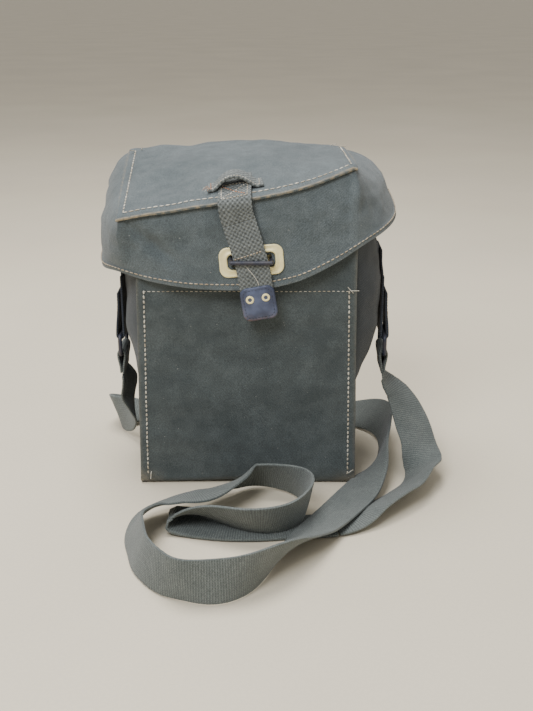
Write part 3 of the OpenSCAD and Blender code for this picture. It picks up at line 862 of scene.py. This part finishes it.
def skirt_out(s):
    """The way the skirt faces, seen from above."""
    if s < FRONT_SHARE:
        turn = 90 - 55 * (s / FRONT_SHARE) ** 3
        return Vector((-math.sin(math.radians(turn)), -math.cos(math.radians(turn)), 0))
    if s > 1 - FRONT_SHARE:
        turn = 90 - 50 * ((1 - s) / FRONT_SHARE) ** 3
        return Vector((math.sin(math.radians(turn)), -math.cos(math.radians(turn)), 0))
    far = (s - 0.5) / (0.5 - FRONT_SHARE)
    turn = math.copysign(35 * abs(far) ** 4, far)
    return Vector((math.sin(math.radians(turn)), -math.cos(math.radians(turn)), 0))


def skirt_place(u, v):
    """The skirt: u round it from the back left, v from its raw lip down to the hem."""
    seam = skirt_top(u) - Vector((0, 0, 2.1))
    out = skirt_out(u)
    if v < 0.04:
        return seam + (out * LIP * 0.85 - Vector((0, 0, 1.6))) * (1 - v / 0.04)
    t = (v - 0.04) / 0.96
    hem = through(HEM, u)
    flat = seam.lerp(hem, t)
    side = abs(2 * u - 1)
    swell = (2 + 13 * max(0, (side - 0.36) / 0.64) ** 0.5) if side > 0.36 else 2
    swell *= math.sin(math.pi * t ** 0.62)
    p = flat + out * swell
    if side < 0.5:
        p.y += 1.4 * math.sin(math.pi * t) * math.exp(-((p.x - 4) / 34) ** 2)
    calm = 0.4 if abs(p.x - 4) < 30 else 1
    p += out * ripple(p.x, p.y, p.z, 30, 2.0) * math.sin(math.pi * min(t * 1.1, 1)) * calm
    crease = Vector((p.x + 86, 0, p.z - 214))
    along = crease.x * 0.76 - crease.z * 0.65
    off = crease.x * 0.65 + crease.z * 0.76
    if -6 < along < 48 and side < 0.75:
        p -= out * 5.0 * math.exp(-(off / 5) ** 2) * math.sin(math.pi * (along + 6) / 54)
    if t > 0.93:
        p += out * 0.8
    pressed = min(max((34 - abs(p.x - 4)) / 9, 0), 1)
    pressed *= min(max((214 - p.z) / 12, 0), 1) * min(max((p.z - 168) / 7, 0), 1)
    p.y += max(0, -57.3 + (p.z - 189) * 0.123 - p.y) * pressed
    return p


skirt = cloth_grid(skirt_place, 200, 60, (420, 74))
layer = skirt.verts.layers.float.new("wear")
for vert in skirt.verts:
    p = vert.co / MM
    low = min((p - through(HEM, k / 120)).length for k in range(121))
    lip = min((p - skirt_place(k / 60, 0)).length for k in range(61))
    vert[layer] = max(0, 1 - low / 2.2) * 0.14 + max(0, 1 - lip / 2.4) * 0.9
for vert in skirt.verts:
    p = vert.co / MM
    if abs(p.x - 4) < 16.6 and abs(p.z - 189) < 5.2 and p.y < -40:
        vert.tag = True
slot_faces = [f for f in skirt.faces if all(v.tag for v in f.verts)]
bmesh.ops.delete(skirt, geom=slot_faces, context="FACES")
skirt = into_piece("lid_skirt_cloth", skirt, lid_canvas, 1.6, 1, 1)
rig.slot(skirt, "canvas")
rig.replaces(skirt, "lid_skirt")
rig.ride(skirt, "lid")

hem_line = []
for k in range(300):
    place, normal = on_sheet(skirt_place, 0.012 + 0.976 * k / 299, 0.935, 1)
    out = skirt_out(0.012 + 0.976 * k / 299)
    hem_line.append((place + out * 0.3, out))
sew("hem_row", hem_line, 3.9, 0.5, 0.5, straw, "lid", wander=0.3)
ridge_line = [(top_at(0.012 + 0.976 * k / 120, 0.022) + Vector((0, 0, 0.1)), Vector((0, -0.3, 1)))
              for k in range(121)]
sew("ridge_row", ridge_line, 4.6, 0.4, 0.62, cream, "lid", wander=0.35)
for name, u in (("left", 0.018), ("right", 0.984)):
    row = [(top_at(u, 0.02 + 0.95 * k / 60) + Vector((0, 0, 0.1)), Vector((0, 0, 1))) for k in range(61)]
    sew("top_side_row_" + name, row, 4.6, 0.5, 0.6, cream, "lid", wander=0.5)

# Slot plate: pressed brass with a raised bevelled border and rounded corners, riveted through the
# skirt over the slot that the staple comes through. Its colour is pale and bright and barely metallic: a painted
# highlight.
def outline(width, height, corner, steps=12):
    """The points of a rounded rectangle, running round from the right."""
    points = []
    for k, (sx, sy) in enumerate(((1, 1), (-1, 1), (-1, -1), (1, -1))):
        for j in range(steps + 1):
            a = math.radians(90 * (k + j / steps))
            points.append((sx * (width / 2 - corner) + corner * math.cos(a),
                           sy * (height / 2 - corner) + corner * math.sin(a)))
    return points


def stacked(profile, matrix, closed):
    """Rounded rectangles (width, height, corner, level) joined in order into one skin."""
    bm = bmesh.new()
    rings = []
    for width, height, corner, level in profile:
        rings.append([bm.verts.new(matrix @ Vector((x, y, level)) * MM)
                      for x, y in outline(width, height, corner)])
    pairs = list(zip(rings, rings[1:])) + ([(rings[-1], rings[0])] if closed else [])
    for a, b in pairs:
        for k in range(len(a)):
            j = (k + 1) % len(a)
            bm.faces.new((a[k], a[j], b[j], b[k]))
    if not closed:
        bm.faces.new(rings[-1])
        bm.faces.new(rings[0][::-1])
    bmesh.ops.recalc_face_normals(bm, faces=bm.faces)
    return bm


def metal_material(name, base, dull, rough, relief, metallic=1.0):
    """Metal with soft tarnish, fine scratches and small pits."""
    material = bpy.data.materials.new(name)
    material.use_nodes = True
    tree = material.node_tree
    shader = tree.nodes["Principled BSDF"]
    where = tree.nodes.new("ShaderNodeTexCoord")
    tarnish = blotches(tree, where.outputs["Object"], 140, 5, 0.42, 0.62)
    tree.links.new(mixed(tree, tarnish, base, dull), shader.inputs["Base Color"])
    shader.inputs["Metallic"].default_value = metallic
    scratch = tree.nodes.new("ShaderNodeTexNoise")
    scratch.inputs["Scale"].default_value = 900
    scratch.inputs["Detail"].default_value = 4
    tree.links.new(where.outputs["Object"], scratch.inputs["Vector"])
    tree.links.new(sums(tree, "ADD", rough, sums(tree, "MULTIPLY", scratch.outputs["Fac"], 0.2)),
                   shader.inputs["Roughness"])
    bump = tree.nodes.new("ShaderNodeBump")
    bump.inputs["Distance"].default_value = relief * MM
    tree.links.new(scratch.outputs["Fac"], bump.inputs["Height"])
    tree.links.new(bump.outputs["Normal"], shader.inputs["Normal"])
    return material


# The brass gets a pale, bright base colour with little metal in it: a painted highlight in place of a reflection.
brass = metal_material("pale_brass_painted_highlight", (0.96, 0.86, 0.46), (0.86, 0.75, 0.39), 0.38, 0.03, 0.2)
# Dark paint on the staple and rings; the same material colours the discs in the eyelet bores as painted shade.
dark_paint_and_bore_shade = metal_material("dark_painted_wire_and_bore_shade", (0.022, 0.026, 0.045), (0.05, 0.045, 0.05), 0.38, 0.05, 0.0)
plate_turn = (Matrix.Translation((4, -57.75, 189)) @ Matrix.Rotation(math.radians(83), 4, "X")
              @ Matrix.Rotation(math.radians(4.6), 4, "Z"))
plate = stacked([(48, 22.5, 6.5, 0), (48, 22.5, 6.5, 0.8), (47.2, 21.7, 6.1, 1.25), (45.6, 20.1, 5.6, 1.3),
                 (44.4, 18.9, 5.2, 0.95), (39.8, 15.2, 4.6, 0.95), (38.8, 14.2, 4.2, 1.55),
                 (37.4, 12.9, 3.9, 1.65), (35.8, 11.3, 3.5, 1.3), (35.5, 11, 3.4, 0)], plate_turn, True)
plate = into_piece("brass_slot_plate", plate, brass)
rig.slot(plate, "brass_fittings")
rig.replaces(plate, "slot_plate")
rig.ride(plate, "lid")
for name in ("slot_backplate", "staple_washer", "staple_backing"):
    frame["nodes"][name].data.materials.clear()
    frame["nodes"][name].data.materials.append(brass)
frame["nodes"]["staple"].data.materials.clear()
frame["nodes"]["staple"].data.materials.append(dark_paint_and_bore_shade)

# Closing strap: coarse cotton webbing in a basket weave. One length is sewn over the ridge of the
# lid; it goes on down over the slot plate and under the staple bar to the leather tip.
CLOSING_W, CLOSING_T = 25, 2.0
closing_webbing, *_ = woven_material(
    "closing_webbing", (0.010, 0.013, 0.014), (0.36, 0.385, 0.375), (0.22, 0.238, 0.23),
    3.5, 3.5, 0.15, 0.7, 0.9, 0.6, 0.1)
anchor_route = []
for v in (0.24, 0.18, 0.12, 0.06, 0.015):
    p = top_at(0.492 - 0.02 * v, v)
    anchor_route.append(((-8.2, p.y, p.z + 1.5), (10, 0, 1.9)))
anchor_route += [((-8.1, -56.6, 236.6), (10, 0, 1.8)), ((-8, -60.0, 234.0), (10, 0.2, 1.8)),
                 ((-7.6, -61.1, 230), (10, 0.1, 1.8)), ((-6.8, -60.4, 224.5), (10, 0, 1.9)),
                 ((-4.9, -59.6, 218.2), (10, 0, 2.2))]
closing_route = [((-4.9, -59.6, 218.2), (10, 0, 2.2)), ((-2.6, -60.2, 211), (10, 0, 2.4)),
                 ((0, -61.7, 203), (10, 0, 2.4)), ((2.2, -62.1, 195), (10, 0, 2.2)),
                 ((4, -62.1, 189), (10, 0, 2.2)), ((5.8, -62.8, 181), (10, 0, 2.0)),
                 ((7.6, -63.4, 170), (10, 0, 1.8)), ((8.0, -63.4, 167), (10, 0, 1.8))]


def route_of(stations):
    """Stations of (point, edge direction) as the lists that a smooth run takes."""
    return [[list(p), list(w)] for p, w in stations]


def run_length(run):
    """The length of a run of webbing along its middle, in millimetres."""
    return sum((b[0] - a[0]).length for a, b in zip(run, run[1:]))


def webbing(name, stations, width, thick, material, columns=10, sag=0.0, step=1.6):
    """A shaped length of webbing, with the place function that its stitches use."""
    run = smooth_run(route_of(stations), step)
    place = ribbon_place(run, width, sag)
    strip = cloth_grid(place, columns, len(run) - 1, (width, run_length(run)))
    return into_piece(name, strip, material, thick, 2, 0), place, run


anchor, anchor_place, _ = webbing("lid_strap_anchor", anchor_route, CLOSING_W, CLOSING_T, closing_webbing)
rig.slot(anchor, "webbing")
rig.replaces(anchor, "strap_anchor")
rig.ride(anchor, "lid")
closing, closing_place, _ = webbing("closing_strap_webbing", closing_route, CLOSING_W, CLOSING_T,
                                    closing_webbing)
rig.slot(closing, "webbing")
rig.replaces(closing, "closing_strap")
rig.ride(closing, "closing_strap")

# Keeper: a short bridge of the same webbing across the sewn end. Its two feet are sewn flat to the
# lid and its middle stands up in an arch, with a frayed front edge.
keeper_route = []
for k in range(-9, 10):
    far = k / 9
    x = -8 + 20.5 * far
    sole = top_at(0.492 + (x + 8) / 172, 0.125)
    rise = 8.2 * math.cos(far * math.pi / 2 / 0.74) if abs(far) < 0.74 else 0
    keeper_route.append(((x, sole.y - 1.5 * max(rise, 0) / 8, sole.z + 1.3 + max(rise, 0)), (0, 10, 2.5)))
keeper, keeper_place, _ = webbing("lid_keeper_arch", keeper_route, 13.5, CLOSING_T, closing_webbing, 8)
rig.slot(keeper, "webbing")
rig.replaces(keeper, "keeper_loop")
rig.ride(keeper, "lid")


def on_webbing(place, u, v, lift, sign):
    """A point on the face of a length of webbing, and the way that face looks."""
    point, normal = on_sheet(place, u, v, sign, 0.04)
    return point + normal * lift, normal


def sew_on(name, place, corners, material, body, sign, pitch=2.6, radius=0.5):
    """Stitches along straight lines between (u, v) corners on a length of webbing."""
    line = []
    for (u0, v0), (u1, v1) in zip(corners, corners[1:]):
        line += [on_webbing(place, u0 + (u1 - u0) * k / 14, v0 + (v1 - v0) * k / 14, CLOSING_T / 2, sign)
                 for k in range(15)]
    return sew(name, line, pitch, 0.5, radius, material, body, "webbing", 0.35)


rust = thread_material("rust_thread", (0.52, 0.26, 0.15), (0.34, 0.17, 0.10))
facing = 1 if on_sheet(anchor_place, 0.5, 0.7)[1].y < 0 else -1
sew_on("anchor_box", anchor_place, [(0.1, 0.30), (0.9, 0.28), (0.88, 0.62), (0.12, 0.66), (0.1, 0.30)],
       cream, "lid", facing)
sew_on("anchor_cross_a", anchor_place, [(0.12, 0.32), (0.86, 0.61)], rust, "lid", facing)
sew_on("anchor_cross_b", anchor_place, [(0.88, 0.30), (0.14, 0.64)], cream, "lid", facing)
facing_up = 1 if on_sheet(keeper_place, 0.5, 0.5)[1].z > 0 else -1
sew_on("keeper_edge", keeper_place, [(0.12, 0.02), (0.1, 0.3), (0.1, 0.7), (0.12, 0.98)], cream, "lid",
       facing_up,
       2.2, 0.42)
sew_on("keeper_foot_left", keeper_place, [(0.1, 0.06), (0.9, 0.05)], rust, "lid", facing_up, 2.2, 0.45)
sew_on("keeper_foot_right", keeper_place, [(0.1, 0.94), (0.9, 0.95)], cream, "lid", facing_up, 2.2, 0.45)
closing_facing = 1 if on_sheet(closing_place, 0.5, 0.5)[1].y < 0 else -1
sew_on("closing_row", closing_place, [(0.04, 0.475), (0.5, 0.47), (0.96, 0.46)], straw, "closing_strap",
       closing_facing,
       2.4, 0.55)


def strand(name, points, radius, material, body, slot="canvas"):
    """A loose thread: a thin round strand along a few points."""
    curve = bpy.data.curves.new(name, "CURVE")
    curve.dimensions = "3D"
    curve.bevel_depth = radius * MM
    curve.bevel_resolution = 1
    curve.resolution_u = 6
    spline = curve.splines.new("BEZIER")
    spline.bezier_points.add(len(points) - 1)
    for point, p in zip(spline.bezier_points, points):
        point.co = Vector(p) * MM
        point.handle_left_type = point.handle_right_type = "AUTO"
    source = bpy.data.objects.new(name + "_line", curve)
    bpy.context.collection.objects.link(source)
    graph = bpy.context.evaluated_depsgraph_get()
    mesh = bpy.data.meshes.new_from_object(source.evaluated_get(graph), depsgraph=graph)
    bpy.data.objects.remove(source)
    piece = bpy.data.objects.new(name, mesh)
    bpy.context.collection.objects.link(piece)
    mesh.materials.clear()
    mesh.materials.append(material)
    for polygon in mesh.polygons:
        polygon.use_smooth = True
    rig.slot(piece, slot)
    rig.ride(piece, body)
    return piece


foot = keeper_place(0.1, 0.05)
for k in range(5):
    a = 2.4 + 0.5 * k
    tip = foot + Vector((-4 - 2 * math.cos(a * 2), -3 + 2.5 * math.sin(a * 3), 1.5 + 1.6 * math.sin(a)))
    bend = foot.lerp(tip, 0.5) + Vector((0, 0, 1.8))
    strand(f"frayed_thread_{k + 1}", [foot + Vector((k * 0.6 - 1, 0, 0.6)), bend, tip],
           0.17, cream if k % 2 else rust, "lid")

strand("loose_thread_front",
       [(0.5, -63.4, 185.5), (4, -64.2, 181.5), (8, -64.7, 176), (9.5, -65.2, 172.4)],
       0.22, cream, "closing_strap", "webbing")
for k, (x, y, z, body) in enumerate(((79, -51.2, 164, "bag"), (81, -51, 162, "bag"), (-78, -51.3, 12, "bag"),
                                     (80, -51.2, 10, "bag"), (*top_at(0.02, 0.93), "lid"),
                                     (*top_at(0.05, 0.96), "lid"), (*top_at(0.97, 0.9), "lid"),
                                     (*top_at(0.92, 0.95), "lid"))):
    base = Vector((x, y, z))
    away = Vector((0, 0, 0.5))
    side = Vector((math.cos(k), -0.6, 0.2))
    if body == "bag":
        away = Vector((0, -1, 0.2))
        side = Vector((math.cos(k * 2.3), 0, math.sin(k * 2.3)))
    strand(f"thread_end_{k + 1}", [base, base + side * 2.2 + away * 1.4, base + side * 4.6 + away * 0.7,
                                   base + side * 6.4 + away * 1.5], 0.3, cream, body)

# Strap tip: two layers of navy leather, stitched face to face round the end of the webbing,
# with rounded corners scuffed brown and two brass eyelets pressed through.
tip_turn = (Matrix.Translation((9.5, -63.2 + 2.3, 158)) @ Matrix.Rotation(math.radians(90), 4, "X")
            @ Matrix.Rotation(math.radians(10), 4, "Z"))
leather = bpy.data.materials.new("navy_leather")
leather.use_nodes = True
tree = leather.node_tree
shader = tree.nodes["Principled BSDF"]
where = tree.nodes.new("ShaderNodeTexCoord")
grain = tree.nodes.new("ShaderNodeTexVoronoi")
grain.inputs["Scale"].default_value = 1500
tree.links.new(where.outputs["Object"], grain.inputs["Vector"])
wear_of = tree.nodes.new("ShaderNodeAttribute")
wear_of.attribute_name = "wear"
scuffed = sums(tree, "MULTIPLY", wear_of.outputs["Fac"],
               blotches(tree, where.outputs["Object"], 500, 4, 0.38, 0.6))
shade = mixed(tree, blotches(tree, where.outputs["Object"], 90, 3, 0.4, 0.65),
              (0.040, 0.051, 0.094), (0.090, 0.112, 0.19))
tree.links.new(mixed(tree, scuffed, shade, (0.20, 0.11, 0.06)), shader.inputs["Base Color"])
shader.inputs["Roughness"].default_value = 0.42
bump = tree.nodes.new("ShaderNodeBump")
bump.inputs["Distance"].default_value = 0.00012
tree.links.new(grain.outputs["Distance"], bump.inputs["Height"])
tree.links.new(bump.outputs["Normal"], shader.inputs["Normal"])
tip = stacked([(22, 22, 4, 0), (24.8, 24.8, 5, 0.1), (26, 26, 5.5, 0.9), (26, 26, 5.5, 1.8),
               (25.3, 25.3, 5.2, 2.2),
               (26, 26, 5.5, 2.6), (26, 26, 5.5, 3.5), (25.2, 25.2, 5.2, 4.2), (23.4, 23.4, 4.6, 4.5),
               (21.6, 21.6, 4, 4.3), (20.4, 20.4, 3.6, 4.5), (14, 14, 3, 4.75), (7, 7, 2, 4.85)],
              tip_turn, False)
tip_middle = Vector((9.5, -63.2, 158))
mark_wear(tip, lambda p: max(0, (158 - p.z) / 13 - 0.35) * max(0, (p - tip_middle).length / 13 - 0.9) * 3)
tip = into_piece("leather_tip", tip, leather)
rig.slot(tip, "tip_leather")
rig.replaces(tip, "strap_tip")
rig.ride(tip, "closing_strap")


def turned(profile, matrix, steps=28):
    """A round piece: a profile of (radius, height) pairs spun right round."""
    bm = bmesh.new()
    verts = [bm.verts.new(Vector((r, 0, h))) for r, h in profile]
    edges = [bm.edges.new(pair) for pair in zip(verts, verts[1:])]
    bmesh.ops.spin(bm, geom=verts + edges, cent=(0, 0, 0), axis=(0, 0, 1), angle=2 * math.pi,
                   steps=steps, use_merge=True)
    bmesh.ops.remove_doubles(bm, verts=bm.verts, dist=0.001)
    bmesh.ops.recalc_face_normals(bm, faces=bm.faces)
    bmesh.ops.transform(bm, matrix=Matrix.Scale(MM, 4) @ matrix, verts=bm.verts)
    return bm


for name, x in (("left", -6), ("right", 6)):
    seat = tip_turn @ Matrix.Translation((x, 4, 4.75))
    ring = turned([(1.5, -1.6), (1.5, 0.2), (1.65, 0.5), (2.0, 0.68), (2.5, 0.62), (2.95, 0.35), (3.1, 0.0),
                   (3.1, -0.5), (1.5, -1.6)], seat)
    eyelet = into_piece("tip_eyelet_" + name, ring, brass)
    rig.slot(eyelet, "brass_fittings")
    if name == "left":
        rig.replaces(eyelet, "tip_eyelets")
    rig.ride(eyelet, "closing_strap")
    # A dark disc sunk in each eyelet's bore: painted shade in the hole.
    bore = turned([(0.001, -0.2), (1.6, -0.2), (1.6, -0.9), (0.001, -0.9)], seat)
    shadow = into_piece("tip_hole_" + name, bore, dark_paint_and_bore_shade)
    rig.slot(shadow, "dark_fittings")
    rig.ride(shadow, "closing_strap")
edge_row = [(tip_turn @ Vector((x, y, 4.35)), Vector((0, -1, 0))) for x, y in outline(21.4, 21.4, 3.8)]
navy = thread_material("navy_thread", (0.05, 0.055, 0.08), (0.025, 0.028, 0.04))
sew("tip_edge_row", edge_row + edge_row[:1], 2.5, 0.7, 0.26, navy, "closing_strap", "tip_leather", 0.05)

# Side tabs: webbing sewn under the lid at each side, doubled round the upper bar of a wire ring.
# The ring is bent round wire, painted dark; the strap's end is doubled round its lower bar.
MIDDLE_Y = 8.5
# The tab webbing is dark navy and painted darker still: partly its own colour, partly painted shade where the tabs
# hang under the lid.
tab_webbing, *_ = woven_material(
    "tab_webbing", (0.008, 0.010, 0.015), (0.085, 0.098, 0.125), (0.042, 0.050, 0.068),
    1.7, 1.9, 0.7, 0.3, 0.85, 0.4, 0.1)
for name, side, x in (("left", -1, 104.13), ("right", 1, 111.58)):
    low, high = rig.box(name + "_tab")
    tab_w = (high[1] - low[1]) / MM
    edge = (0, 10, 0)
    lying = gusset_place(side, 20 if side < 0 else 28)
    roots = [((lying(0.5, z / SIDE_TOP[side]).x + side * 1.9, MIDDLE_Y, z), edge)
             for z in (185, 180, 175, 170, 164.5)]
    root, *_ = webbing(name + "_tab_root_webbing", roots, tab_w, 1.7, tab_webbing)
    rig.slot(root, "webbing")
    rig.replaces(root, name + "_tab_root")
    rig.ride(root, "bag")
    r = 2.75
    turns = [((side * (x - r), MIDDLE_Y, z), edge) for z in (163, 150, 137, 124)]
    for a in range(0, 181, 20):
        angle = math.radians(a)
        turns.append(((side * (x - r * math.cos(angle)), MIDDLE_Y, 113 - r * math.sin(angle)), edge))
    turns += [((side * (x + r - 0.6), MIDDLE_Y, 122), edge), ((side * (x + 0.6), MIDDLE_Y, 136), edge),
              ((side * (x + 0.4), MIDDLE_Y, 149), edge)]
    tab, tab_place, _ = webbing(name + "_tab_webbing", turns, tab_w, 1.7, tab_webbing, 12)
    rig.slot(tab, "webbing")
    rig.replaces(tab, name + "_tab")
    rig.ride(tab, name + "_tab")
    sign = 1 if on_sheet(tab_place, 0.5, 0.93)[1].x * side > 0 else -1
    sew_on(name + "_tab_box", tab_place,
           [(0.12, 0.80), (0.88, 0.80), (0.88, 0.97), (0.12, 0.97), (0.12, 0.80)],
           tan, name + "_tab", sign, 2.6, 0.4)
    wire = [(side * x, MIDDLE_Y + y, 105 + z) for y, z in outline(38, 16, 3.2, 4)]
    bm = bmesh.new()
    rings = []
    for k, p in enumerate(wire):
        ahead = (Vector(wire[(k + 1) % len(wire)]) - Vector(wire[k - 1])).normalized()
        away = Vector((1, 0, 0))
        third = ahead.cross(away)
        rings.append([bm.verts.new((Vector(p) + 1.7 * (away * math.cos(a) + third * math.sin(a))) * MM)
                      for a in (math.tau * j / 14 for j in range(14))])
    for a, b in zip(rings, rings[1:] + rings[:1]):
        for k in range(14):
            bm.faces.new((a[k], a[(k + 1) % 14], b[(k + 1) % 14], b[k]))
    bmesh.ops.recalc_face_normals(bm, faces=bm.faces)
    wire_ring = into_piece(name + "_wire_ring", bm, dark_paint_and_bore_shade)
    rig.slot(wire_ring, "dark_fittings")
    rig.replaces(wire_ring, name + "_ring")
    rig.ride(wire_ring, name + "_ring")
    r = 2.8
    ends = [((side * (x - 0.8), MIDDLE_Y, 79.6), edge), ((side * (x - 1.3), MIDDLE_Y, 86), edge),
            ((side * (x - r + 0.2), MIDDLE_Y, 93), edge)]
    for a in range(180, -1, -20):
        angle = math.radians(a)
        ends.append(((side * (x + r * math.cos(angle)), MIDDLE_Y, 97 + r * math.sin(angle)), edge))
    ends += [((side * (x + r - 0.2), MIDDLE_Y, 93), edge), ((side * (x + 1.3), MIDDLE_Y, 86), edge),
             ((side * (x + 0.9), MIDDLE_Y, 80.2), edge)]
    loop, *_ = webbing(name + "_strap_loop", ends, 32, 1.7, strap_webbing, 12)
    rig.slot(loop, "webbing")
    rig.replaces(loop, name + "_strap_end")
    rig.blend(loop, name + "_ring", name + "_tab", start=(side * x * MM, MIDDLE_Y * MM, 0.096),
             end=(side * x * MM, MIDDLE_Y * MM, 0.081))

# Floor: a wide pale linen cloth under the bag, with a soft light above and a weaker one in front.
# It has a fine weave and slow changes of tone, and it belongs to the stage.
bm = bmesh.new()
bmesh.ops.create_grid(bm, x_segments=8, y_segments=8, size=150.0)
floor_mesh = bpy.data.meshes.new("linen_floor")
bm.to_mesh(floor_mesh)
bm.free()
floor = bpy.data.objects.new("linen_floor", floor_mesh)
bpy.context.collection.objects.link(floor)
linen = bpy.data.materials.new("linen")
linen.use_nodes = True
tree = linen.node_tree
shader = tree.nodes["Principled BSDF"]
where = tree.nodes.new("ShaderNodeTexCoord")
patches = blotches(tree, where.outputs["Object"], 3.0, 4, 0.3, 0.7)
tone = mixed(tree, patches, (0.76, 0.68, 0.53), (0.70, 0.625, 0.485))
slub = tree.nodes.new("ShaderNodeTexNoise")
slub.inputs["Scale"].default_value = 420
tree.links.new(where.outputs["Object"], slub.inputs["Vector"])
tree.links.new(mixed(tree, sums(tree, "MULTIPLY", slub.outputs["Fac"], 0.25), tone, (0.42, 0.39, 0.33)),
               shader.inputs["Base Color"])
shader.inputs["Roughness"].default_value = 0.95
floor_mesh.materials.append(linen)
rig.stage(floor)

world = bpy.data.worlds.new("soft_room")
bpy.context.scene.world = world
world.use_nodes = True
world.node_tree.nodes["Background"].inputs["Color"].default_value = (0.86, 0.85, 0.83, 1)
world.node_tree.nodes["Background"].inputs["Strength"].default_value = 0.62


def soft_light(name, place, aim, size, power, colour):
    lamp = bpy.data.lights.new(name, "AREA")
    lamp.shape = "DISK"
    lamp.size = size
    lamp.energy = power
    lamp.color = colour
    light = bpy.data.objects.new(name, lamp)
    bpy.context.collection.objects.link(light)
    light.location = place
    light.rotation_euler = (Vector(aim) - Vector(place)).to_track_quat("-Z", "Y").to_euler()


soft_light("overhead", (-0.25, 0.2, 1.7), (0, 0, 0.1), 0.9, 30, (1.0, 0.985, 0.96))
soft_light("front_high", (-0.5, -1.15, 1.5), (0, 0, 0.14), 0.8, 26, (0.95, 0.97, 1.0))

visual_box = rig.bounds()
with open("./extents.json", "w") as out:
    json.dump({"cad": [list(corner) for corner in cad_box],
               "visual": [list(corner) for corner in visual_box]}, out)
